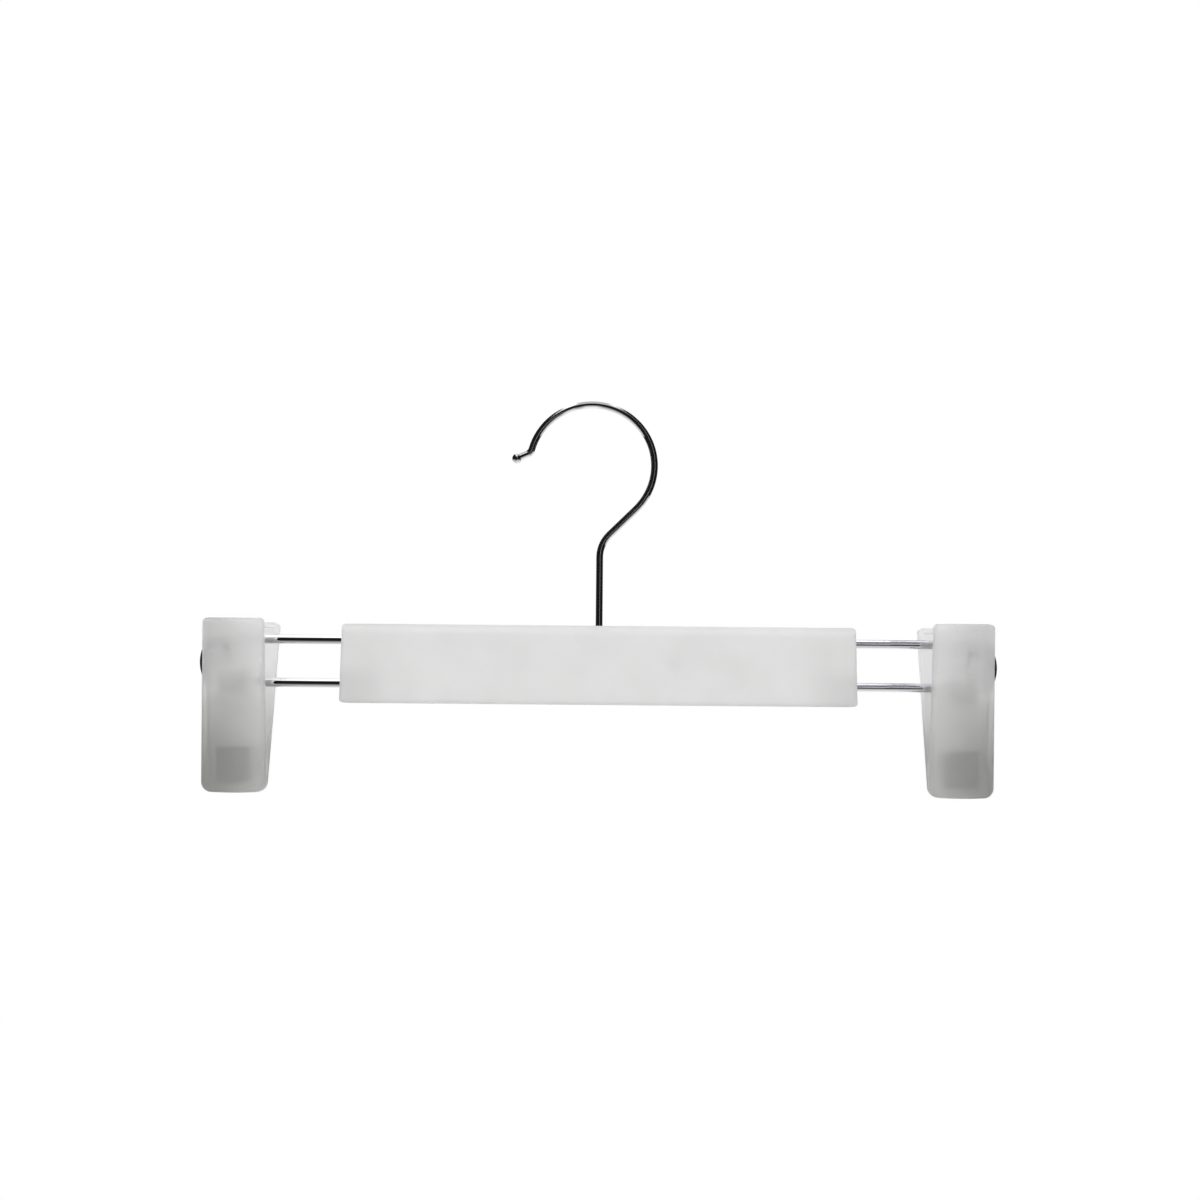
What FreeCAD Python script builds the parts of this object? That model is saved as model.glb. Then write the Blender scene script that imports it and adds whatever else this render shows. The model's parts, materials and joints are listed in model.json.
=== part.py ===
import FreeCAD, Part
import math
import os

from FreeCAD import Vector

# A skirt hanger in millimetres: +X along the bar, -Y the front, +Z up.
# The origin is the point of the hook that sits on the rail, on the swivel axis.

# Hook, bent from one round wire, with a ball on its tip and an upset head on its foot
HOOK_WIRE_D = 3.0
BOW_RADIUS = 26.8
BOW_OFFSET = 3.6
BOW_TIP_ANGLE = 165.0
SLOPE_ANGLE = 44.8
NECK_BEND_R = 13.8
TIP_BEND_R = 3.4
TIP_FALL_ANGLE = 24.0
TIP_RUN = 4.9
BALL_D = 4.2
HOOK_REACH = 94.3
STEM_GRIP = 11.0
SWIVEL_FIT = 0.06
WASHER_D = 6.0
WASHER_T = 0.8
WASHER_FIT = 0.1
HEAD_D = 5.0
HEAD_H = 2.0

# Bar, a hollow moulding in two half shells
BAR_LENGTH = 214.2
BAR_HEIGHT = 33.0
BAR_DEPTH = 12.0
BAR_WALL = 1.8
BAR_TOP_ROUND = 4.6
BAR_BOTTOM_ROUND = 1.0
BAR_TOP_CORNER = 1.8
BAR_BOTTOM_CORNER = 2.0
BAR_END_ROUND = 1.6
BOSS_WALL = 3.0
POST_REACHES = (31.0, 58.0)
POST_D = 5.0
PIN_D = 2.6
PIN_LENGTH = 2.6
PIN_FIT = 0.05
RIB_T = 2.0

# Wire loops, one hairpin at each end of the bar
LOOP_WIRE_D = 3.8
WIRE_SPACING = 18.1
UPPER_WIRE_DROP = 6.7
LOOP_REACH = 59.9
LOOP_END_R = 14.5
LOOP_CORNER_R = 4.5
LEG_GRIP = 17.0
FOOT_BEND_R = 4.5
FOOT_LENGTH = 6.5
WIRE_FIT = 0.05
FOOT_FIT = 0.2

# Clip jaws, a pair of leaning trays hinged on the lower wire
CLIP_TOP_WIDTH = 24.4
CLIP_TIP_WIDTH = 26.2
HANDLE_RISE = 27.3
JAW_DROP = 44.8
JAW_LEAN = 8.9
TIP_HALF_GAP = 0.6
RIM_HALF_GAP = 0.3
PLATE_T = 2.0
RIM_DEPTH = 2.0
RIM_WALL = 2.0
TRAY_EDGE_ROUND = 1.4
HANDLE_CORNER_R = 1.9
TIP_CORNER_R = 4.2
TIP_BOW = 0.5
TIP_BOW_R = 150.0
EAR_T = 1.2
EAR_GAP = 0.15
EAR_WALL = 1.8
EAR_BASE = 13.0
HINGE_FIT = 0.08
CLIP_END_PLAY = 3.6

# Torsion spring round the lower wire, with an arm to each handle
SPRING_WIRE_D = 1.0
SPRING_TURNS = 3
SPRING_GAP = 0.54
COIL_FIT = 0.4
ARM_RISE = 16.5
ARM_FIT = 0.15
GUIDE_T = 0.9
GUIDE_H = 1.6
GUIDE_LENGTH = 6.0
GUIDE_FIT = 0.35

# Grip pads, ribbed wedges let into the jaws
PAD_WIDTH = 14.0
PAD_HEIGHT = 15.0
PAD_TIP_MARGIN = 4.4
PAD_SEAT = 0.4
PAD_SEAT_FIT = 0.05
PAD_HALF_GAP = 0.05
TOOTH_PITCH = 1.5
TOOTH_DEPTH = 0.6

# Places that follow from the sizes above
hook_r = HOOK_WIRE_D / 2
wire_r = LOOP_WIRE_D / 2
spring_r = SPRING_WIRE_D / 2
bar_top = -HOOK_REACH
bar_bottom = bar_top - BAR_HEIGHT
bar_middle = (bar_top + bar_bottom) / 2
boss_bottom = bar_top - STEM_GRIP
upper_z = bar_top - UPPER_WIRE_DROP
lower_z = upper_z - WIRE_SPACING
loop_end = BAR_LENGTH / 2 + LOOP_REACH
foot_x = BAR_LENGTH / 2 - LEG_GRIP
half_spacing = WIRE_SPACING / 2

# The end of a loop is a wide arc that two corner arcs join to the legs
corner_turn = math.degrees(math.acos((half_spacing - LOOP_CORNER_R) / (LOOP_END_R - LOOP_CORNER_R)))
end_arc_depth = LOOP_END_R - (LOOP_END_R - LOOP_CORNER_R) * math.sin(math.radians(corner_turn))
straight_end = loop_end - wire_r - end_arc_depth

# Depths of a jaw, counted from the hinge axis square to its plate
lean = math.radians(JAW_LEAN)
plate_inner = -(TIP_HALF_GAP + JAW_DROP * math.sin(lean)) / math.cos(lean)
plate_outer = plate_inner - PLATE_T
rim_face = plate_inner + RIM_DEPTH

# The ends of the coil ease into the arms over a quarter turn, which closes the end turns by an eighth
coil_r = wire_r + COIL_FIT + spring_r
coil_pitch = (SPRING_WIRE_D + SPRING_GAP) / (1 - 1 / 8)
arm_end = Vector(0, plate_inner + spring_r + ARM_FIT, ARM_RISE)
arm_end = FreeCAD.Rotation(Vector(1, 0, 0), JAW_LEAN).multVec(arm_end)
arm_angle = math.atan2(arm_end.z, arm_end.y) + math.acos(coil_r / arm_end.Length)
coil_turn = SPRING_TURNS * 2 * math.pi + 3 * math.pi - 2 * arm_angle
coil_length = coil_pitch * (coil_turn / (2 * math.pi) - 1 / 4)
inner_ear = (coil_length + SPRING_WIRE_D) / 2 + EAR_GAP
outer_ear = inner_ear + EAR_T + EAR_GAP
clip_x = -(straight_end - CLIP_END_PLAY - outer_ear - EAR_T)
hinge = Vector(clip_x, 0, lower_z)


def xz(a, b):
    return Vector(a, 0, b)


def yz(a, b):
    return Vector(0, a, b)


def rounded_face(corners, radii, place):
    """Face inside a polygon of (a, b) corners, each rounded to its own radius."""
    points = [place(*corner) for corner in corners]
    stretches = []
    for i, (corner, radius) in enumerate(zip(points, radii)):
        back = (points[i - 1] - corner).normalize()
        ahead = (points[(i + 1) % len(points)] - corner).normalize()
        half = back.getAngle(ahead) / 2
        reach = radius / math.tan(half)
        middle = corner + (back + ahead).normalize() * (radius / math.sin(half) - radius)
        stretches.append((corner + back * reach, middle, corner + ahead * reach))
    edges = []
    for i, (start, middle, end) in enumerate(stretches):
        edges.append(Part.LineSegment(stretches[i - 1][2], start).toShape())
        if radii[i] > 0:
            edges.append(Part.Arc(start, middle, end).toShape())
    return Part.Face(Part.Wire(edges))


def polygon_face(points):
    return Part.Face(Part.makePolygon(points + points[:1]))


def bent_wire(start, heading, moves, radius):
    """Round wire in the XZ plane. A move is a run (length) or a bend (radius, turn to the left)."""
    edges = []
    point = start
    angle = math.radians(heading)
    first = xz(math.cos(angle), math.sin(angle))
    for move in moves:
        if len(move) == 1:
            end = point + xz(math.cos(angle), math.sin(angle)) * move[0]
            edges.append(Part.LineSegment(point, end).toShape())
        else:
            turn = math.radians(move[1])
            side = math.copysign(1, turn)
            centre = point + xz(-math.sin(angle), math.cos(angle)) * (side * move[0])
            spots = []
            for share in (0.5, 1.0):
                spoke = angle + share * turn - side * math.pi / 2
                spots.append(centre + xz(math.cos(spoke), math.sin(spoke)) * move[0])
            edges.append(Part.Arc(point, *spots).toShape())
            end = spots[1]
            angle += turn
        point = end
    section = Part.Face(Part.Wire([Part.makeCircle(radius, start, first)]))
    return Part.Wire(edges).makePipe(section), point


def make_hook():
    """The foot, the stem, a slope to the right, the bow over the rail and a tip that flicks out."""
    slope = math.radians(SLOPE_ANGLE)
    bow_z = -math.sqrt((BOW_RADIUS - hook_r) ** 2 - BOW_OFFSET ** 2)
    bow_end = xz(BOW_RADIUS * math.sin(slope) - BOW_OFFSET, bow_z - BOW_RADIUS * math.cos(slope))
    slope_length = bow_end.x / math.cos(slope)
    neck_turn = 90 - SLOPE_ANGLE
    neck_reach = NECK_BEND_R * math.tan(math.radians(neck_turn / 2))
    neck_z = bow_end.z - slope_length * math.sin(slope)
    foot = xz(0, boss_bottom - WASHER_T - HEAD_H)
    bow_turn = BOW_TIP_ANGLE + neck_turn
    tip_turn = SLOPE_ANGLE + bow_turn - 180 - TIP_FALL_ANGLE
    moves = [
        (neck_z - neck_reach - foot.z,),
        (NECK_BEND_R, -neck_turn),
        (slope_length - neck_reach,),
        (BOW_RADIUS, bow_turn),
        (TIP_BEND_R, -tip_turn),
        (TIP_RUN,),
    ]
    wire, tip = bent_wire(foot, 90, moves, hook_r)
    ball = Part.makeSphere(BALL_D / 2, tip)
    head = Part.makeCylinder(HEAD_D / 2, HEAD_H, foot)
    return wire.fuse([ball, head]).removeSplitter()


def make_washer():
    base = xz(0, boss_bottom - WASHER_T)
    disc = Part.makeCylinder(WASHER_D / 2, WASHER_T, base)
    return disc.cut(Part.makeCylinder(hook_r + WASHER_FIT, WASHER_T, base))


def make_right_loop():
    """A hairpin with wide D end, whose two feet turn towards each other inside the bar."""
    leg = straight_end - foot_x - FOOT_BEND_R
    moves = [
        (FOOT_LENGTH - FOOT_BEND_R,),
        (FOOT_BEND_R, -90),
        (leg,),
        (LOOP_CORNER_R, -corner_turn),
        (LOOP_END_R, 2 * corner_turn - 180),
        (LOOP_CORNER_R, -corner_turn),
        (leg,),
        (FOOT_BEND_R, -90),
        (FOOT_LENGTH - FOOT_BEND_R,),
    ]
    return bent_wire(xz(foot_x, upper_z - FOOT_LENGTH), 90, moves, wire_r)[0]


def rounded_block(low, high, axis, radii):
    """A box with its edges along one axis rounded, each to its radius, from the low corner round."""
    first, second = [i for i in range(3) if i != axis]
    corners = [(low[first], low[second]), (high[first], low[second])]
    corners += [(high[first], high[second]), (low[first], high[second])]

    def place(a, b):
        point = [0, 0, 0]
        point[first] = a
        point[second] = b
        point[axis] = low[axis]
        return Vector(*point)

    sweep = [0, 0, 0]
    sweep[axis] = high[axis] - low[axis]
    return rounded_face(corners, radii, place).extrude(Vector(*sweep))


def bar_block(inset):
    """The bar's outer form, or with an inset its hollow: a box rounded along each of its three axes."""
    low = (inset - BAR_LENGTH / 2, inset - BAR_DEPTH / 2, bar_bottom + inset)
    high = (BAR_LENGTH / 2 - inset, BAR_DEPTH / 2 - inset, bar_top - inset)
    along = [BAR_BOTTOM_ROUND, BAR_BOTTOM_ROUND, BAR_TOP_ROUND, BAR_TOP_ROUND]
    across = [BAR_BOTTOM_CORNER, BAR_BOTTOM_CORNER, BAR_TOP_CORNER, BAR_TOP_CORNER]
    upright = [BAR_END_ROUND] * 4
    blocks = []
    for axis, radii in enumerate((along, across, upright)):
        blocks.append(rounded_block(low, high, axis, [max(radius - inset, 0) for radius in radii]))
    return blocks[0].common(blocks[1]).common(blocks[2])


def cross_block(low_x, high_x, low_z, high_z):
    """A rib that runs through the bar from front to back."""
    corner = Vector(low_x, -BAR_DEPTH / 2, low_z)
    return Part.makeBox(high_x - low_x, BAR_DEPTH, high_z - low_z, corner)


def cross_rod(diameter, x, low_y, high_y):
    """A round post along Y at mid height of the bar."""
    return Part.makeCylinder(diameter / 2, high_y - low_y, Vector(x, low_y, bar_middle), Vector(0, 1, 0))


def bar_fittings():
    """What stands inside the bar: the hook's boss, the posts, and the ribs and keys that hold the loops."""
    boss_r = hook_r + SWIVEL_FIT + BOSS_WALL
    fittings = [cross_block(-boss_r, boss_r, boss_bottom, bar_top)]
    rib_start = foot_x + FOOT_BEND_R + FOOT_FIT
    key_start = foot_x + wire_r + FOOT_FIT
    key_half = half_spacing - FOOT_BEND_R - FOOT_FIT
    loop_middle = (upper_z + lower_z) / 2
    for side in (-1, 1):
        rib = sorted((side * rib_start, side * (rib_start + RIB_T)))
        fittings.append(cross_block(*rib, bar_bottom, bar_top))
        key = sorted((side * key_start, side * (rib_start + RIB_T)))
        fittings.append(cross_block(*key, loop_middle - key_half, loop_middle + key_half))
    for reach in POST_REACHES:
        for x in (-reach, reach):
            fittings.append(cross_rod(POST_D, x, -BAR_DEPTH / 2, BAR_DEPTH / 2))
    return fittings


def make_shells():
    """The bar whole, bored for the wires, then parted along its middle plane."""
    outer = bar_block(0)
    fittings = [fitting.common(outer) for fitting in bar_fittings()]
    bar = outer.cut(bar_block(BAR_WALL)).fuse(fittings)
    bores = [Part.makeCylinder(hook_r + SWIVEL_FIT, STEM_GRIP, xz(0, boss_bottom))]
    bore_start = foot_x + FOOT_BEND_R
    for z in (upper_z, lower_z):
        for side in (-1, 1):
            start = xz(side * bore_start, z)
            bores.append(Part.makeCylinder(wire_r + WIRE_FIT, LEG_GRIP, start, Vector(side, 0, 0)))
    bar = bar.cut(bores)
    corner = Vector(-BAR_LENGTH / 2, -BAR_DEPTH / 2, bar_bottom)
    half = Part.makeBox(BAR_LENGTH, BAR_DEPTH / 2, BAR_HEIGHT, corner)
    front = bar.common(half)
    back = bar.cut(half)
    for reach in POST_REACHES:
        for x in (-reach, reach):
            front = front.fuse(cross_rod(PIN_D, x, -PIN_LENGTH, PIN_LENGTH))
            back = back.cut(cross_rod(PIN_D + 2 * PIN_FIT, x, 0, PIN_LENGTH + PIN_FIT))
    return front.removeSplitter(), back.removeSplitter()


def tray_block(inset, low_y, high_y):
    """The jaw's outline, with its bowed tip, between two depths, drawn in by an inset."""
    top_half = CLIP_TOP_WIDTH / 2 - inset
    tip_half = CLIP_TIP_WIDTH / 2 - inset
    top = HANDLE_RISE - inset
    tip = inset - JAW_DROP
    side = tip + TIP_BOW
    corners = [(-tip_half, side), (0, tip), (tip_half, side), (top_half, top), (-top_half, top)]
    sizes = [TIP_CORNER_R, TIP_BOW_R, TIP_CORNER_R, HANDLE_CORNER_R, HANDLE_CORNER_R]
    block = rounded_face(corners, [max(size - inset, 0) for size in sizes], xz)
    block = block.extrude(Vector(0, high_y - low_y, 0))
    block.translate(Vector(0, low_y, 0))
    return block


def rim_clearance():
    """All past an upright plane, where the rims run out so that the two halves can close at their tips."""
    width = CLIP_TOP_WIDTH + CLIP_TIP_WIDTH
    block = Part.makeBox(width, JAW_DROP, 2 * JAW_DROP, Vector(-width / 2, -RIM_HALF_GAP, -2 * JAW_DROP))
    block.rotate(Vector(0, 0, 0), Vector(1, 0, 0), -JAW_LEAN)
    return block


def ear(low_x):
    """A hinge ear: a ring on the axis with a web whose edges run tangent to it from the plate."""
    ring_r = wire_r + HINGE_FIT + EAR_WALL
    base = Vector(0, plate_inner, EAR_BASE / 2)
    spoke = math.atan2(base.z, base.y) - math.acos(ring_r / base.Length)
    high = yz(ring_r * math.cos(spoke), ring_r * math.sin(spoke))
    foot = base - Vector(0, PLATE_T / 2, 0)
    points = [foot, base, high]
    points += [yz(point.y, -point.z) for point in reversed(points)]
    web = polygon_face(points).extrude(Vector(EAR_T, 0, 0))
    ring = Part.makeCylinder(ring_r, EAR_T, Vector(0, 0, 0), Vector(1, 0, 0))
    bore = Part.makeCylinder(wire_r + HINGE_FIT, EAR_T, Vector(0, 0, 0), Vector(1, 0, 0))
    shape = web.fuse(ring).cut(bore)
    shape.translate(Vector(low_x, 0, 0))
    return shape


def pad_seat(low_y, grow):
    """The place of a pad on the plate, grown all round by its fit."""
    width = PAD_WIDTH + 2 * grow
    height = PAD_HEIGHT + 2 * grow
    low_z = PAD_TIP_MARGIN - JAW_DROP - grow
    return Part.makeBox(width, plate_inner - low_y, height, Vector(-width / 2, low_y, low_z))


def make_jaw():
    """The front jaw of the left clip, upright about the hinge axis: tray, ears and spring guides."""
    tray = tray_block(0, plate_outer, rim_face)
    face = min(tray.Faces, key=lambda candidate: candidate.CenterOfMass.y)
    tray = tray.makeFillet(TRAY_EDGE_ROUND, face.Edges)
    tray = tray.cut([tray_block(RIM_WALL, plate_inner, rim_face), rim_clearance()])
    ears = [ear(-outer_ear - EAR_T), ear(inner_ear)]
    guides = []
    guide_offset = spring_r + GUIDE_FIT
    for low_x in (guide_offset, -guide_offset - GUIDE_T):
        corner = Vector(low_x - coil_length / 2, plate_inner, ARM_RISE - GUIDE_LENGTH / 2)
        guides.append(Part.makeBox(GUIDE_T, GUIDE_H, GUIDE_LENGTH, corner))
    jaw = tray.fuse(ears + guides)
    return jaw.cut(pad_seat(plate_inner - PAD_SEAT, PAD_SEAT_FIT)).removeSplitter()


def make_pad():
    """A wedge from the jaw's leaning plate to the upright grip plane, ribbed across its face."""
    low = PAD_TIP_MARGIN - JAW_DROP
    count = max(1, round(PAD_HEIGHT / TOOTH_PITCH))
    step = PAD_HEIGHT / count / 2
    back = plate_inner - PAD_SEAT
    points = [Vector(-PAD_WIDTH / 2, back, low + PAD_HEIGHT), Vector(-PAD_WIDTH / 2, back, low)]
    for i in range(2 * count + 1):
        z = low + i * step
        crest = (z * math.sin(lean) - PAD_HALF_GAP) / math.cos(lean)
        root = TOOTH_DEPTH * (1 - i % 2)
        points.append(Vector(-PAD_WIDTH / 2, crest - root, z))
    return polygon_face(points).extrude(Vector(PAD_WIDTH, 0, 0))


def half_turned(shape):
    """The same moulding faced about, as the clip's back half."""
    turned = shape.copy()
    turned.rotate(Vector(0, 0, 0), Vector(0, 0, 1), 180)
    return turned


def arc_from(start, tangent, end):
    """Arc that leaves a point along a tangent and ends at another point."""
    chord = end - start
    along = Vector(chord).normalize()
    side = (tangent - along * tangent.dot(along)).normalize()
    rise = chord.Length / 2 * math.tan(tangent.getAngle(chord) / 2)
    return Part.Arc(start, (start + end) / 2 + side * rise, end).toShape()


def biarc(start, start_tangent, end, end_tangent):
    """Two arcs that meet smoothly and match the place and direction of both ends."""
    chord = end - start
    both = start_tangent + end_tangent
    a = both.dot(both) - 4
    b = -2 * chord.dot(both)
    c = chord.dot(chord)
    reach = (-b - math.sqrt(b * b - 4 * a * c)) / (2 * a)
    joint = (start + start_tangent * reach + end - end_tangent * reach) / 2
    joint_tangent = (end - end_tangent * reach - start - start_tangent * reach).normalize()
    return [arc_from(start, start_tangent, joint), arc_from(joint, joint_tangent, end)]


def coil_point(turned):
    """Place and direction on the coil after an angle, its rise eased in and out over a quarter turn."""
    ease = math.pi / 2
    rate = coil_pitch / (2 * math.pi)
    into = min(turned, ease)
    left = min(coil_turn - turned, ease)
    x = rate * (turned - ease / 2 + (ease - into) ** 2 / (2 * ease) - (ease - left) ** 2 / (2 * ease))
    slope = rate * min(into, left) / ease
    angle = arm_angle + turned
    place = Vector(x - coil_length / 2, coil_r * math.cos(angle), coil_r * math.sin(angle))
    tangent = Vector(slope, -coil_r * math.sin(angle), coil_r * math.cos(angle)).normalize()
    return place, tangent


def make_spring():
    """One wire: down the front arm, round the lower wire, and up the back arm."""
    steps = math.ceil(coil_turn / (math.pi / 2))
    stations = [coil_point(coil_turn * i / steps) for i in range(steps + 1)]
    arm = math.sqrt(arm_end.Length ** 2 - coil_r ** 2)
    start = stations[0][0] - stations[0][1] * arm
    end = stations[-1][0] + stations[-1][1] * arm
    edges = [Part.LineSegment(start, stations[0][0]).toShape()]
    for here, there in zip(stations, stations[1:]):
        edges += biarc(*here, *there)
    edges.append(Part.LineSegment(stations[-1][0], end).toShape())
    path = Part.Wire(edges)
    section = Part.Wire([Part.makeCircle(spring_r, start, stations[0][1])])
    report_coil_gap(path)
    return path.makePipeShell([section], True, False)


def report_coil_gap(path):
    """Print the least clear gap between points of the spring that lie over half a turn apart."""
    step = spring_r / 2
    points = path.discretize(Distance=step)
    apart = math.ceil(math.pi * coil_r / step)
    least = min(a.distanceToPoint(b) for i, a in enumerate(points) for b in points[i + apart:])
    print("spring: least gap to itself %.3f mm" % (least - SPRING_WIRE_D))


def make_left_clip():
    """The left clip's pieces about its hinge axis, then set on the lower wire."""
    pieces = {"front_jaw": make_jaw(), "front_pad": make_pad()}
    for shape in pieces.values():
        shape.rotate(Vector(0, 0, 0), Vector(1, 0, 0), JAW_LEAN)
    pieces["back_jaw"] = half_turned(pieces["front_jaw"])
    pieces["back_pad"] = half_turned(pieces["front_pad"])
    pieces["spring"] = make_spring()
    for shape in pieces.values():
        shape.translate(hinge)
    return pieces


def mirrored(shape):
    return shape.mirror(Vector(0, 0, 0), Vector(1, 0, 0))


front_shell, back_shell = make_shells()
right_loop = make_right_loop()
nodes = {
    "hook": make_hook(),
    "hook_washer": make_washer(),
    "bar_front_shell": front_shell,
    "bar_back_shell": back_shell,
    "left_wire_loop": mirrored(right_loop),
    "right_wire_loop": right_loop,
}
for name, shape in make_left_clip().items():
    nodes["left_" + name] = shape
    nodes["right_" + name] = mirrored(shape)

os.makedirs("parts", exist_ok=True)
for name, shape in nodes.items():
    solids = shape.Solids
    if not shape.isValid() or len(solids) != 1:
        raise ValueError("%s is not one valid solid" % name)
    solids[0].exportStep("parts/%s.step" % name)
    print("%-18s %9.1f mm3" % (name, solids[0].Volume))
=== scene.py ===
import json
import math

import bpy
import numpy as np
from mathutils import Matrix, Vector


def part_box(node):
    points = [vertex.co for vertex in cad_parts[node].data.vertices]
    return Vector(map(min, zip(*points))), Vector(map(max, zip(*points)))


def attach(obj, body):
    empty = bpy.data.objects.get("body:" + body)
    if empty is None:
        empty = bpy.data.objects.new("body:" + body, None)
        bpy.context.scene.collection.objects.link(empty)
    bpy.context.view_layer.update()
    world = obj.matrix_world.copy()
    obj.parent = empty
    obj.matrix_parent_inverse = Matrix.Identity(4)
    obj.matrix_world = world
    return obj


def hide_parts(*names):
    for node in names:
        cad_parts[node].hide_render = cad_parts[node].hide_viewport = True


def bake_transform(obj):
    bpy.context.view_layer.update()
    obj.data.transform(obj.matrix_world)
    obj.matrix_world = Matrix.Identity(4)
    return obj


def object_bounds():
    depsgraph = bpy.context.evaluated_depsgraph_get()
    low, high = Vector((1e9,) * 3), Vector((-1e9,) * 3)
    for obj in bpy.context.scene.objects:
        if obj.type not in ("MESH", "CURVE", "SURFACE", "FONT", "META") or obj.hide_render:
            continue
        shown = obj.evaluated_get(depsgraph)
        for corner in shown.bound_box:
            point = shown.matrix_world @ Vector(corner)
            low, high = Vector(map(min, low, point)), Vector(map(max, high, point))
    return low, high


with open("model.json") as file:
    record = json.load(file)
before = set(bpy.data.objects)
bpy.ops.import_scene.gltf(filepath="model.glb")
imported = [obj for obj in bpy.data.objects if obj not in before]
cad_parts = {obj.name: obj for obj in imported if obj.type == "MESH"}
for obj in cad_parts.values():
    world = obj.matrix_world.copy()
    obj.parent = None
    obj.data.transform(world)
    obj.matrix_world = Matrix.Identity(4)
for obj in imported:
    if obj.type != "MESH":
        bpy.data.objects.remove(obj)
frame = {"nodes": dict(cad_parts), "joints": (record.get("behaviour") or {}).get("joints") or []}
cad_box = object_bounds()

# A skirt hanger in the frame's metres: +X along the bar, -Y the front, +Z up, the rail at the origin.
MM = 0.001

# Torsion spring: a coil round the lower wire with a straight arm to each handle
LOOP_WIRE_D = 3.8 * MM
SPRING_WIRE_D = 1.0 * MM
COIL_FIT = 0.4 * MM
SPRING_TURNS = 3
SPRING_PITCH = 1.76 * MM
ARM_END_Y = -9.44 * MM
ARM_END_Z = 15.22 * MM
HALF_COIL_STATIONS = 120
ARM_STATIONS = 24
SPRING_SIDES = 24

# Grip pads: ribbed wedges between the leaning plate and the upright grip plane
JAW_LEAN = math.radians(8.9)
PAD_WIDTH = 14.0 * MM
PAD_HEIGHT = 15.0 * MM
PAD_BACK = -8.02 * MM
PAD_LOW = -40.4 * MM
PAD_HALF_GAP = 0.05 * MM
RIB_COUNT = 10
RIB_DEPTH = 0.6 * MM
RIB_STEPS = 16
PAD_BACK_POINTS = 24
PAD_EDGE_ROUND = 0.35 * MM
PAD_EDGE_STEPS = 5
PAD_SHARP_ANGLE = math.radians(50)

# Moulded plastic: its spark-eroded grain, in lumps a metre, and its index of refraction
GRAIN_SCALE = 2600.0
GRAIN_STRENGTH = 0.25
GRAIN_DEPTH = 0.05 * MM
PLASTIC_IOR = 1.49

# Bar plastic: clouds of flow, and zones of painted shade at the ends of the bar, deeper in their lower
# corners
BAR_FLOW_SCALE = 60.0
BAR_END_ZONE = 40.0 * MM
BAR_CORNER_ZONE = 25.0 * MM
BAR_CORNER_TOP = 0.55
BAR_CORNER_FULL = 0.25

# Clip plastic: how far clouds push its painted light and shade about, and zones of a plate from its tip,
# handle and sides over which that painted light and shade change
CLIP_FLOW_SCALE = 90.0
SIDE_WANDER = 6.0 * MM
RISE_WANDER = 12.0 * MM
TIP_ZONE = 6.0 * MM
HANDLE_END_ZONE = 14.0 * MM
EAR_ROOT_ZONE = 9.5 * MM
OUTER_ZONE = 8.0 * MM
INNER_RIM = 4.0 * MM
OUTER_RIM = 3.0 * MM
RIM_FADE = 30.0 * MM
BACK_EDGE = 2.0 * MM
EAR_DEPTH = (4.5 * MM, 3.5 * MM)
EAR_REACH = (9.0 * MM, 6.0 * MM)

# Camera, as the photograph was taken: a little under the bar, looking slightly up
IMAGE_SIDE = 1200
FOCAL_PIXELS = 1026
SENSOR_WIDTH = 36.0
CAMERA_PLACE = Vector((-0.6, -430.3, -134.9)) * MM
CAMERA_AZIMUTH = math.radians(0.12)
CAMERA_RISE = math.radians(6.85)
CAMERA_ROLL = math.radians(0.5)
NEAREST_SEEN = 0.01
FARTHEST_SEEN = 50.0

# Floor: its size, and where the stretches that the metal mirrors as pale begin and end
FLOOR_DROP = 0.30
FLOOR_SIDE = 3.0
FLOOR_DEPTH = (-0.7, 0.4)
FLOOR_SHADE = (0.4, 1.1)
MIDDLE_WIDTH = (0.12, 0.05)
MIDDLE_FRONT = (-0.62, -0.48)
RIGHT_START = (0.13, 0.2)
RIGHT_END = (0.36, 0.28)
RIGHT_FRONT = (-0.66, -0.5)

# Room, as the metal mirrors it: where lights begin and end, in parts of a direction of length 1
BOX_START = (0.16, 0.22)
BOX_END = (0.38, 0.33)
BOX_FOOT = (0.78, 0.9)
LEFT_HALF = (0.1, -0.1)
LEFT_BOX_DROP = 0.2
RIPPLE_SCALE = 80.0
RIPPLE_REACH = 2.5
WALL_START = (0.225, 0.25)
WALL_END = (0.36, 0.31)
WALL_TOP = (0.8, 0.6)
WALL_LINE_HEIGHT = 0.17
WALL_LINE_HALF = (0.35, 0.15)
CARD_SPREAD = 0.3
CARD_EDGE = (0.05, -0.05)
CARD_FOOT = (0.35, 0.6)
BACKDROP_EDGE = (0.55, 0.8)
FRONT_HALF = (0.2, -0.2)
AMBIENT_LEVEL = 0.68

# Lamps: square soft boxes, in metres and watts
LAMP_AIM = Vector((0.0, 0.0, -0.1))
CEILING_PLACE = Vector((0.0, -0.4, 1.1))
CEILING_SIDE = 1.4
CEILING_POWER = 7.0
CORNER_PLACE = Vector((1.0, 0.9, 0.3))
CORNER_SIDE = 0.8
CORNER_POWER = 4.5


class Value:
    """An output socket: arithmetic on it adds Math nodes to its tree."""

    def __init__(self, nodes, socket):
        self.nodes = nodes
        self.socket = socket

    def math(self, operation, first, second):
        return self.nodes.make("ShaderNodeMath", {"operation": operation}, {0: first, 1: second})

    def __add__(self, other):
        return self.math("ADD", self, other)

    def __radd__(self, other):
        return self.math("ADD", other, self)

    def __sub__(self, other):
        return self.math("SUBTRACT", self, other)

    def __rsub__(self, other):
        return self.math("SUBTRACT", other, self)

    def __mul__(self, other):
        return self.math("MULTIPLY", self, other)

    def __rmul__(self, other):
        return self.math("MULTIPLY", other, self)

    def size(self):
        return self.nodes.make("ShaderNodeMath", {"operation": "ABSOLUTE"}, {0: self})


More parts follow.
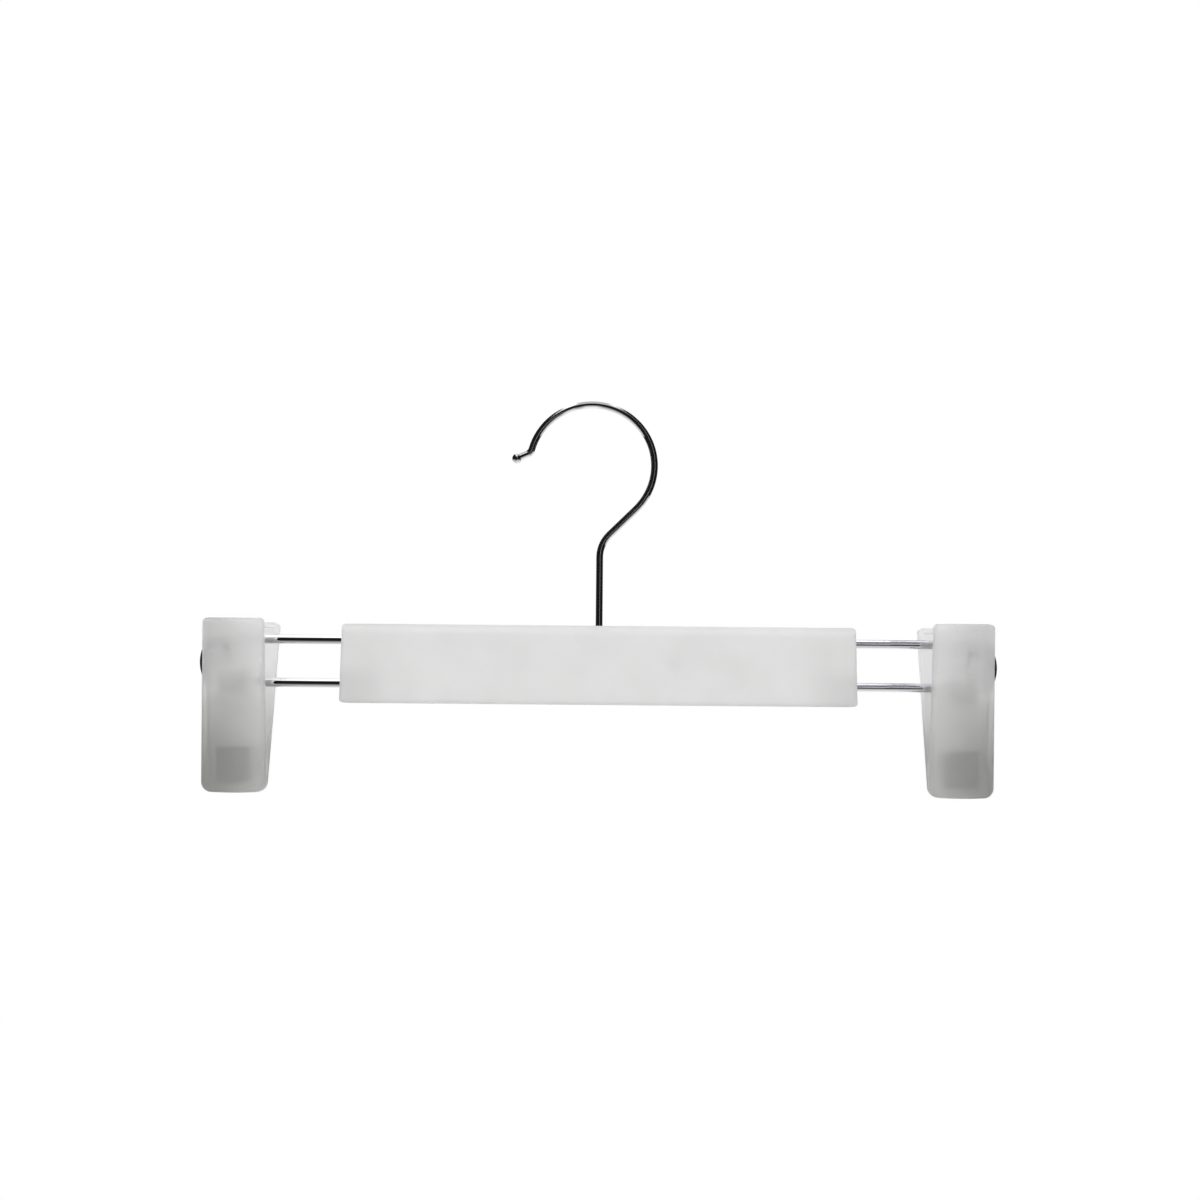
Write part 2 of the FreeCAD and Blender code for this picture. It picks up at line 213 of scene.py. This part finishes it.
class Nodes:
    """One node tree: make() adds a node of a type, with its settings and inputs, and returns an output."""

    def __init__(self, tree):
        self.tree = tree
        tree.nodes.clear()

    def make(self, kind, settings=None, inputs=None, output=0):
        node = self.tree.nodes.new(kind)
        for name, setting in (settings or {}).items():
            setattr(node, name, setting)
        for name, value in (inputs or {}).items():
            if isinstance(value, Value):
                self.tree.links.new(value.socket, node.inputs[name])
            else:
                node.inputs[name].default_value = value
        return Value(self, node.outputs[output] if node.outputs else None)

    def apart(self, vector, *axes):
        """The named parts of a vector."""
        node = self.make("ShaderNodeSeparateXYZ", None, {"Vector": vector}).socket.node
        return [Value(self, node.outputs[axis]) for axis in axes]

    def noise(self, place, scale, detail=2.0):
        """Soft noise from 0 to 1, scale in lumps a metre."""
        return self.make("ShaderNodeTexNoise", None, {"Vector": place, "Scale": scale, "Detail": detail})

    def between(self, value, low, high):
        """A smooth step from 0 at low to 1 at high."""
        settings = {"interpolation_type": "SMOOTHSTEP"}
        return self.make("ShaderNodeMapRange", settings, {"Value": value, "From Min": low, "From Max": high})

    def mixed(self, share, first, second):
        """The first colour at share 0 and the second at share 1."""
        settings = {"data_type": "RGBA"}
        return self.make("ShaderNodeMix", settings, {"Factor": share, "A": first, "B": second}, "Result")

    def ray(self, kind):
        """What Light Path says of the ray that is being traced."""
        return self.make("ShaderNodeLightPath", None, None, kind)


class Finish(Nodes):
    """A material: a Principled surface whose constants sit on its own sockets."""

    def __init__(self, name):
        self.material = bpy.data.materials.new(name)
        self.material.use_nodes = True
        super().__init__(self.material.node_tree)
        self.place = self.make("ShaderNodeTexCoord", None, None, "Object")

    def bump(self, height, strength, depth):
        return self.make("ShaderNodeBump", None, {"Height": height, "Strength": strength, "Distance": depth})

    def surface(self, inputs):
        shader = self.make("ShaderNodeBsdfPrincipled", None, inputs)
        self.make("ShaderNodeOutputMaterial", None, {"Surface": shader})
        return self.material


def bar_plastic():
    """Milky moulded plastic: faint clouds of flow in a pale body under a fine grain. Painted shade darkens it
    a little towards the ends of the bar, and more in their lower corners, where the wires' feet sit inside."""
    flow_dark = (0.79, 0.79, 0.785, 1)
    flow_pale = (0.88, 0.88, 0.878, 1)
    # Painted shade of the wires' feet, in the lower corners at the bar's ends
    corner_shade_grey = (0.68, 0.68, 0.677, 1)
    finish = Finish("milky bar plastic with painted shade")
    low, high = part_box("bar_front_shell")
    tall = high.z - low.z
    across, rise = finish.apart(finish.place, "X", "Z")
    reach = across.size()
    # Masks of painted shade: towards the ends of the bar, and more in their lower corners
    ends = finish.between(reach, high.x - BAR_END_ZONE, high.x)
    corners = finish.between(rise, low.z + BAR_CORNER_TOP * tall, low.z + BAR_CORNER_FULL * tall)
    corners = corners * finish.between(reach, high.x - BAR_CORNER_ZONE, high.x)
    # Flow clouds, with the painted shade at the ends taken off them
    clouds = finish.noise(finish.place, BAR_FLOW_SCALE, 3.0) - 0.4 * ends
    grain = finish.noise(finish.place, GRAIN_SCALE)
    body = finish.mixed(clouds, flow_dark, flow_pale)
    return finish.surface({
        # The painted shade of the corners goes into the base colour
        "Base Color": finish.mixed(0.85 * corners, body, corner_shade_grey),
        "Roughness": 0.56 + 0.12 * grain,
        "Normal": finish.bump(grain, GRAIN_STRENGTH, GRAIN_DEPTH),
        "IOR": PLASTIC_IOR,
        "Transmission Weight": 0.3,
    })


def clip_plastic(hinge_height):
    """The clips' clearer, greyer plastic, with painted shade that darkens it from the sides by the bar to the
    outer sides and towards the jaw tips and the ends of the handles, and darker painted shade on rims below
    the hinge.
    Painted light makes it paler where the ears are rooted, more so in front, and on the ears between the
    plates."""
    # Stops of painted shade: darker at the outer side and the jaw tip, paler at the inner side and the handle
    outer_tip_shade = (0.60, 0.60, 0.587, 1)
    outer_handle_shade = (0.75, 0.75, 0.748, 1)
    inner_tip_shade = (0.77, 0.77, 0.76, 1)
    inner_handle_shade = (0.915, 0.915, 0.912, 1)
    # Painted light where the ears are rooted and on the ears between the plates
    root_painted_light = (0.97, 0.97, 0.967, 1)
    # Painted shade for the rims below the hinge
    rim_painted_shade = (0.42, 0.42, 0.41, 1)
    ear_painted_light = (0.95, 0.95, 0.945, 1)
    finish = Finish("frosted clip plastic with painted shade")
    low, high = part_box("left_front_jaw")
    outer_side = -low.x
    inner_side = -high.x
    across, deep, rise = finish.apart(finish.place, "X", "Y", "Z")
    reach = across.size()
    clouds = finish.noise(finish.place, CLIP_FLOW_SCALE, 3.0) - 0.5
    grain = finish.noise(finish.place, GRAIN_SCALE)
    rise = rise + RISE_WANDER * clouds
    from_hinge = (rise - hinge_height).size()
    # Painted shade from the sides by the bar to the outer sides, and from the handles down to the jaw tips
    lit_inward = finish.between(reach + SIDE_WANDER * clouds, outer_side, inner_side)
    lit_upward = finish.between(rise, low.z + TIP_ZONE, high.z)
    # Painted shade at the ends of the handles
    lit_upward = lit_upward - 0.3 * finish.between(rise, high.z - HANDLE_END_ZONE, high.z)
    outer = finish.mixed(lit_upward, outer_tip_shade, outer_handle_shade)
    inner = finish.mixed(lit_upward, inner_tip_shade, inner_handle_shade)
    plates = finish.mixed(lit_inward, outer, inner)
    back = finish.between(deep, 0.0, BACK_EDGE)
    # Painted light where the ears are rooted, more in front and less at the outer edge
    root_light = finish.between(from_hinge, EAR_ROOT_ZONE, 0.0) * (0.52 - 0.36 * back)
    root_light = root_light * (0.4 + 0.6 * finish.between(reach, outer_side, outer_side - OUTER_ZONE))
    plates = finish.mixed(root_light, plates, root_painted_light)
    # Painted shade on the back plate's inner rim and on the outer rims, below the hinge
    inner_rim_shade = finish.between(reach, inner_side + INNER_RIM, inner_side) * back
    outer_rim_shade = finish.between(reach, outer_side - OUTER_RIM, outer_side)
    below = finish.between(rise, hinge_height, hinge_height - RIM_FADE)
    plates = finish.mixed((0.75 * inner_rim_shade + 0.7 * outer_rim_shade) * below, plates, rim_painted_shade)
    # Painted light on the ears between the plates
    ears = finish.between(deep.size(), *EAR_DEPTH) * finish.between(from_hinge, *EAR_REACH)
    return finish.surface({
        "Base Color": finish.mixed(ears, plates, ear_painted_light),
        "Roughness": 0.80 + 0.12 * grain,
        "Normal": finish.bump(grain, GRAIN_STRENGTH, GRAIN_DEPTH),
        "IOR": PLASTIC_IOR,
        "Transmission Weight": 0.8,
    })


def plated_wire():
    """Bright chromium plate over drawn wire: faint drawing waves and a thin haze."""
    finish = Finish("bright plated wire")
    waves = finish.noise(finish.place, 120.0)
    haze = finish.noise(finish.place, 900.0, 4.0)
    return finish.surface({
        "Base Color": finish.mixed(haze, (0.76, 0.765, 0.78, 1), (0.82, 0.825, 0.835, 1)),
        "Roughness": 0.05 + 0.04 * haze,
        "Normal": finish.bump(waves, 0.12, 0.3 * MM),
        "Metallic": 1.0,
    })


def grip_rubber():
    """Soft olive grey rubber with a dull, dusty skin."""
    finish = Finish("olive grip rubber")
    dust = finish.noise(finish.place, 400.0, 4.0)
    grain = finish.noise(finish.place, 5000.0)
    return finish.surface({
        "Base Color": finish.mixed(dust, (0.49, 0.495, 0.44, 1), (0.57, 0.575, 0.52, 1)),
        "Roughness": 0.62 + 0.2 * dust,
        "Normal": finish.bump(grain, 0.3, 0.04 * MM),
        "Specular IOR Level": 0.35,
    })


def spring_steel():
    """Drawn spring wire: pale satin steel with fine streaks."""
    finish = Finish("drawn spring steel")
    streaks = finish.noise(finish.place, 1800.0, 3.0)
    return finish.surface({
        "Base Color": finish.mixed(streaks, (0.80, 0.80, 0.805, 1), (0.90, 0.90, 0.902, 1)),
        "Roughness": 0.34 + 0.16 * streaks,
        "Metallic": 1.0,
    })


def mesh_piece(name, points, faces, finish):
    """A smooth mesh at the origin from an array of points and lists of faces."""
    mesh = bpy.data.meshes.new(name)
    mesh.from_pydata(points.tolist(), [], faces)
    mesh.shade_smooth()
    mesh.materials.append(finish)
    piece = bpy.data.objects.new(name, mesh)
    bpy.context.scene.collection.objects.link(piece)
    return piece


def closed_sweep(rings):
    """Points and faces of a skin over rings (stations, sides, 3), with a fan of triangles at each end.

    A face joins side j to side j + 1 and station i to station i + 1; the last side joins the first.
    """
    stations, sides = rings.shape[:2]
    poles = rings[[0, -1]].mean(axis=1)
    points = np.concatenate([rings.reshape(-1, 3), poles])
    index = np.arange(stations * sides).reshape(stations, sides)
    ahead = np.roll(index, -1, axis=1)
    quads = np.stack([index[:-1], ahead[:-1], ahead[1:], index[1:]], axis=-1).reshape(-1, 4)
    first = np.full(sides, stations * sides)
    start = np.stack([first, ahead[0], index[0]], axis=-1)
    end = np.stack([first + 1, index[-1], ahead[-1]], axis=-1)
    return points, quads.tolist() + start.tolist() + end.tolist()


def spring_half(side):
    """Centre line and outward normals of half a spring about its hinge, from mid coil out along one arm.

    The coil turns by an angle and moves along X in step with it, easing to rest over the last quarter
    turn; the arm then leaves along the tangent. Side 1 is the front arm, and side -1 the back arm, which
    is the front one turned half round about Z.
    """
    radius = (LOOP_WIRE_D + SPRING_WIRE_D) / 2 + COIL_FIT
    reach = math.hypot(ARM_END_Y, ARM_END_Z)
    arm_angle = math.atan2(ARM_END_Z, ARM_END_Y) + math.acos(radius / reach)
    coil_turn = (2 * SPRING_TURNS + 3) * math.pi - 2 * arm_angle
    ease = math.pi / 2
    rate = SPRING_PITCH / (2 * math.pi)
    turned = np.linspace(coil_turn / 2, 0, HALF_COIL_STATIONS)
    x = -rate * (coil_turn / 2 - turned) + rate * np.maximum(ease - turned, 0) ** 2 / (2 * ease)
    angle = arm_angle + turned
    normal = np.stack([np.zeros_like(angle), np.cos(angle), np.sin(angle)], axis=-1)
    coil = radius * normal
    coil[:, 0] = x
    along = np.array([0, math.sin(arm_angle), -math.cos(arm_angle)])
    length = np.linspace(0, math.sqrt(reach ** 2 - radius ** 2), ARM_STATIONS)[1:, None]
    line = np.concatenate([coil, coil[-1] + length * along])
    normal = np.concatenate([normal, np.repeat(normal[-1:], len(length), axis=0)])
    turn = np.array([side, side, 1])
    return line * turn, normal * turn


def wire_rings(line, normal, diameter, sides):
    """Circles round a centre line, each in the plane of its normal and the cross of tangent and normal."""
    tangent = np.gradient(line, axis=0)
    tangent /= np.linalg.norm(tangent, axis=1, keepdims=True)
    across = np.cross(tangent, normal)
    across /= np.linalg.norm(across, axis=1, keepdims=True)
    upright = np.cross(across, tangent)
    angle = np.linspace(0, 2 * math.pi, sides, endpoint=False)[None, :, None]
    circle = np.cos(angle) * upright[:, None] + np.sin(angle) * across[:, None]
    return line[:, None] + diameter / 2 * circle


def make_spring(clip, hinge, mirror, finish):
    """Two halves of the spring that meet at mid coil, each made in place about the hinge."""
    flip = np.array([mirror, 1, 1])
    for side, jaw in ((1, "front"), (-1, "back")):
        line, normal = spring_half(side)
        rings = wire_rings(line * flip + hinge, normal * flip, SPRING_WIRE_D, SPRING_SIDES)
        points, faces = closed_sweep(rings)
        piece = mesh_piece("%s_spring_%s_half" % (clip, jaw), points, faces, finish)
        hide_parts(clip + "_spring")
        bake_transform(piece)


def pad_rings():
    """Rings of a front pad about its hinge: its side outline, carried across and drawn in at both ends.

    The face waves by a cosine from root to crest about the upright grip plane; the back is a straight
    line on the leaning plate.
    """
    low, high = PAD_LOW, PAD_LOW + PAD_HEIGHT
    height = np.linspace(low, high, RIB_STEPS * RIB_COUNT + 1)
    wave = 0.5 + 0.5 * np.cos(2 * math.pi * RIB_COUNT * (height - low) / PAD_HEIGHT)
    crest = (height * math.sin(JAW_LEAN) - PAD_HALF_GAP) / math.cos(JAW_LEAN)
    face = np.stack([crest - RIB_DEPTH * wave, height], axis=-1)
    back_height = np.linspace(high, low, PAD_BACK_POINTS)
    back = np.stack([np.full_like(back_height, PAD_BACK), back_height], axis=-1)
    outline = np.concatenate([face, back])
    middle = outline.mean(axis=0)
    reach = np.abs(outline - middle).max(axis=0)
    round_by = np.linspace(0, math.pi / 2, PAD_EDGE_STEPS)
    inset = PAD_EDGE_ROUND * (1 - np.sin(round_by))
    along = PAD_EDGE_ROUND * (1 - np.cos(round_by)) - PAD_WIDTH / 2
    inset = np.concatenate([inset, inset[::-1]])
    along = np.concatenate([along, -along[::-1]])
    shape = middle + (outline - middle) * (1 - inset[:, None, None] / reach)
    v, w = shape[..., 0], shape[..., 1]
    y = v * math.cos(JAW_LEAN) - w * math.sin(JAW_LEAN)
    z = v * math.sin(JAW_LEAN) + w * math.cos(JAW_LEAN)
    return np.stack([np.broadcast_to(along[:, None], y.shape), y, z], axis=-1)


def make_pads(clip, hinge, finish):
    """Both pads of a clip: the front one, and the same turned half round about Z."""
    for side, jaw in ((1, "front"), (-1, "back")):
        rings = pad_rings() * np.array([side, side, 1]) + hinge
        points, faces = closed_sweep(rings)
        piece = mesh_piece("%s_%s_grip" % (clip, jaw), points, faces, finish)
        piece.data.set_sharp_from_angle(angle=PAD_SHARP_ANGLE)
        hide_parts("%s_%s_pad" % (clip, jaw))
        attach(piece, "%s_%s_jaw" % (clip, jaw))


def dress_nodes(finishes):
    """Each CAD node takes the finish of its own slot; of the plastic, the bar has its own."""
    for name, node in frame["nodes"].items():
        kind = "bar_plastic" if name.startswith("bar_") else node.material_slots[0].material.name
        node.material_slots[0].material = finishes[kind]


def make_floor():
    """A pale floor well below the hanging part: white to the camera but for a little of its shading. The
    metal mirrors it as dark in front and light behind, with paler stretches at the middle and the right."""
    side = FLOOR_SIDE / 2
    level = cad_box[0][2] - FLOOR_DROP
    corners = [(-side, -side, level), (side, -side, level), (side, side, level), (-side, side, level)]
    mesh = bpy.data.meshes.new("studio floor")
    mesh.from_pydata(corners, [], [(0, 1, 2, 3)])
    finish = Finish("pale studio floor")
    seen = finish.ray("Is Camera Ray")
    glossy = finish.ray("Is Glossy Ray")
    away = finish.make("ShaderNodeVectorMath", {"operation": "LENGTH"}, {0: finish.place}, "Value")
    across, behind = finish.apart(finish.place, "X", "Y")
    middle = finish.between(across.size(), *MIDDLE_WIDTH) * finish.between(behind, *MIDDLE_FRONT)
    right = finish.between(across, *RIGHT_START) * finish.between(across, *RIGHT_END)
    right = right * finish.between(behind, *RIGHT_FRONT)
    mirrored = 0.01 + 0.85 * finish.between(behind, *FLOOR_DEPTH) + 0.3 * middle + 0.3 * right
    glow = seen + mirrored * glossy
    white = finish.make("ShaderNodeEmission", None, {"Color": (1, 1, 1, 1), "Strength": glow})
    matt = finish.make("ShaderNodeBsdfDiffuse", None, {"Color": (0.9, 0.9, 0.9, 1)})
    share = seen * (0.85 + 0.15 * finish.between(away, *FLOOR_SHADE)) + glossy
    both = finish.make("ShaderNodeMixShader", None, {0: share, 1: matt, 2: white})
    finish.make("ShaderNodeOutputMaterial", None, {"Surface": both})
    mesh.materials.append(finish.material)
    floor = bpy.data.objects.new("studio floor", mesh)
    bpy.context.scene.collection.objects.link(floor)


def make_surroundings():
    """The world: white to the camera and through the plastic, and soft light on matt faces.

    The metal mirrors a dark room with soft boxes high on both sides, the left one reaching lower, a card
    overhead, a pale backdrop, and a wall at the right with a wavering line of light. Through plastic that
    is itself mirrored, the front of the room is dim.
    """
    world = bpy.data.worlds.new("studio")
    bpy.context.scene.world = world
    world.use_nodes = True
    nodes = Nodes(world.node_tree)
    direction = nodes.make("ShaderNodeTexCoord", None, None, "Generated")
    across, behind, height = nodes.apart(direction, "X", "Y", "Z")
    reach = across.size()
    settings = {"noise_dimensions": "1D"}
    ripple = nodes.make("ShaderNodeTexNoise", settings, {"W": across, "Scale": RIPPLE_SCALE})
    waver = RIPPLE_REACH * (ripple - 0.5)

    left = nodes.between(across, *LEFT_HALF)
    foot = height + LEFT_BOX_DROP * left + 0.5 * waver * (1 - left)
    sides = nodes.between(reach, *BOX_START) * nodes.between(reach, *BOX_END)
    boxes = (0.95 + 0.35 * left) * sides * nodes.between(foot, *BOX_FOOT)
    wall = nodes.between(across, *WALL_START) * nodes.between(across, *WALL_END)
    wall = wall * nodes.between(height, *WALL_TOP)
    line = nodes.between((height - WALL_LINE_HEIGHT + waver).size(), *WALL_LINE_HALF)
    card = nodes.between(reach - CARD_SPREAD * height, *CARD_EDGE) * nodes.between(height, *CARD_FOOT)
    backdrop = nodes.between(behind, *BACKDROP_EDGE)
    room = 0.01 + boxes * (1 - backdrop) + wall * (0.05 + 0.7 * line) + 0.6 * card + 0.55 * backdrop

    seen = nodes.ray("Is Camera Ray")
    glossy = nodes.ray("Is Glossy Ray")
    through = nodes.ray("Is Transmission Ray")
    mirrored = nodes.between(nodes.ray("Glossy Depth"), 0, 1)
    within = nodes.between(nodes.ray("Transmission Depth"), 0, 1)
    dim = 0.8 * mirrored * nodes.between(behind, *FRONT_HALF)
    soft = 1 - seen - through - glossy
    level = seen + through * (1 - dim) + glossy * (room + 0.25 * within) + AMBIENT_LEVEL * soft
    tint = nodes.mixed(glossy * wall, (1, 1, 1, 1), (0.87, 0.85, 1, 1))
    light = nodes.make("ShaderNodeBackground", None, {"Color": tint, "Strength": level})
    nodes.make("ShaderNodeOutputWorld", None, {"Surface": light})


def make_lamp(name, place, side, power, through=True):
    """A square soft box that faces the part and isn't mirrored, and that may shine through the plastic."""
    lamp = bpy.data.lights.new(name, "AREA")
    lamp.shape = "SQUARE"
    lamp.size = side
    lamp.energy = power
    box = bpy.data.objects.new(name, lamp)
    box.location = place
    box.rotation_euler = (LAMP_AIM - place).to_track_quat("-Z", "Y").to_euler()
    box.visible_glossy = False
    box.visible_transmission = through
    bpy.context.scene.collection.objects.link(box)


def make_lamps():
    """A soft box overhead and one at each corner; the back ones don't shine through the plastic."""
    make_lamp("ceiling soft box", CEILING_PLACE, CEILING_SIDE, CEILING_POWER)
    for side, turn in (("left", -1), ("right", 1)):
        front = CORNER_PLACE * Vector((turn, -1, 1))
        back = CORNER_PLACE * Vector((turn, 1, 1))
        make_lamp(side + " front soft box", front, CORNER_SIDE, CORNER_POWER)
        make_lamp(side + " back soft box", back, CORNER_SIDE, CORNER_POWER, False)


def make_camera():
    """The photograph's camera: its axis from azimuth and rise, turned by its roll."""
    right = Vector((math.cos(CAMERA_AZIMUTH), -math.sin(CAMERA_AZIMUTH), 0))
    level = Vector((math.sin(CAMERA_AZIMUTH), math.cos(CAMERA_AZIMUTH), 0))
    ahead = level * math.cos(CAMERA_RISE) + Vector((0, 0, math.sin(CAMERA_RISE)))
    up = right.cross(ahead)
    tilted_right = right * math.cos(CAMERA_ROLL) + up * math.sin(CAMERA_ROLL)
    tilted_up = up * math.cos(CAMERA_ROLL) - right * math.sin(CAMERA_ROLL)
    data = bpy.data.cameras.new("camera")
    data.sensor_width = SENSOR_WIDTH
    data.lens = SENSOR_WIDTH * FOCAL_PIXELS / IMAGE_SIDE
    data.clip_start = NEAREST_SEEN
    data.clip_end = FARTHEST_SEEN
    camera = bpy.data.objects.new("camera", data)
    axes = Matrix((tilted_right, tilted_up, -ahead)).transposed().to_4x4()
    camera.matrix_world = Matrix.Translation(CAMERA_PLACE) @ axes
    bpy.context.scene.collection.objects.link(camera)
    bpy.context.scene.camera = camera


hinges = {}
for joint in frame["joints"]:
    if joint["name"].endswith("_front_jaw_open"):
        hinges[joint["name"].split("_")[0]] = np.array(joint["pos_m"])

finishes = {
    "bar_plastic": bar_plastic(),
    "frosted_plastic": clip_plastic(hinges["left"][2]),
    "chrome": plated_wire(),
    "grip_pad": grip_rubber(),
    "spring_steel": spring_steel(),
}
dress_nodes(finishes)
for clip, hinge in hinges.items():
    make_spring(clip, hinge, -math.copysign(1, hinge[0]), finishes["spring_steel"])
    make_pads(clip, hinge, finishes["grip_pad"])

make_floor()
make_surroundings()
make_lamps()
make_camera()
bpy.context.scene.view_settings.view_transform = "Standard"
